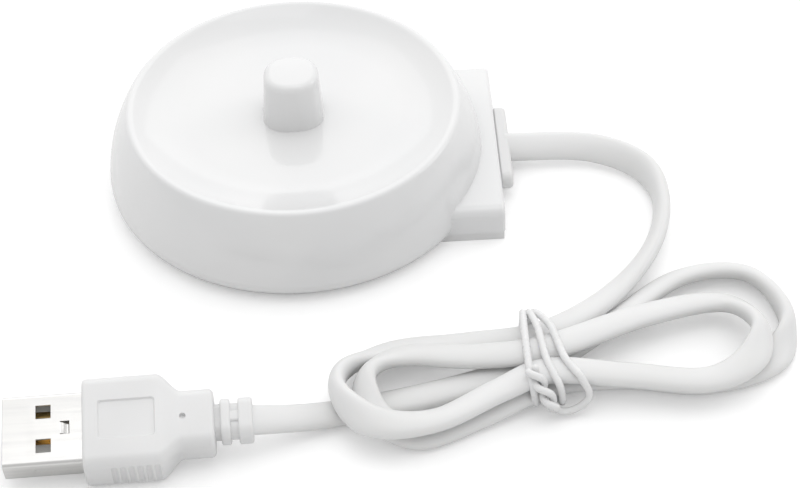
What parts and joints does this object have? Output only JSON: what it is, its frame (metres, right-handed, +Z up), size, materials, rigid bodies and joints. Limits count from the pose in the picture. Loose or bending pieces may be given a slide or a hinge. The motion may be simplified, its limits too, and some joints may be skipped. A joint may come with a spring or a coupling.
{
  "type": "inductive toothbrush charging base",
  "caption": "Round white charging base with a dish and a post, a tail block, and a bundled flat cord with a USB plug.",
  "frame": {"origin": "centre of the round base on its underside, where it stands", "axes": "+Z up along the post, +X towards the tail block and the cord outlet"},
  "size_m": [0.1243, 0.1033, 0.0227],
  "materials": {
    "gloss_shell": "moulded gloss white",
    "satin_cover": "satin white",
    "seal_rubber": "soft black",
    "ferrite": "sintered dark grey",
    "bobbin_plastic": "matte black",
    "copper_winding": "enamelled copper",
    "board_laminate": "green solder mask",
    "chip_epoxy": "matte black",
    "capacitor_red": "dipped gloss red",
    "capacitor_sleeve": "shrink sleeve",
    "lead_red": "red insulation",
    "lead_black": "black insulation",
    "cord_vinyl": "soft white vinyl",
    "tie_coating": "white coated wire",
    "plug_steel": "nickel plated sheet",
    "plug_insulator": "white insulator",
    "contact_gold": "gold plated",
    "inner_mould": "translucent white",
    "plug_vinyl": "satin white vinyl"
  },
  "bodies": {
    "root": {"top_shell": "gloss_shell", "bottom_cover": "satin_cover", "seal_ring": "seal_rubber", "ferrite_core": "ferrite", "coil_bobbin": "bobbin_plastic", "primary_coil": "copper_winding", "coil_leads": "copper_winding", "circuit_board": "board_laminate", "driver_chip": "chip_epoxy", "film_capacitors": "capacitor_red", "electrolytic_capacitor": "capacitor_sleeve", "choke": "ferrite", "chip_parts": "chip_epoxy", "supply_lead_red": "lead_red", "supply_lead_black": "lead_black", "cord_grommet": "cord_vinyl", "cord": "cord_vinyl", "twist_tie": "tie_coating", "plug_shell": "plug_steel", "plug_tongue": "plug_insulator", "plug_contacts": "contact_gold", "plug_carrier": "plug_insulator", "plug_solder_leads": "lead_red", "plug_inner_mould": "inner_mould", "plug_body": "plug_vinyl"}
  },
  "joints": []
}
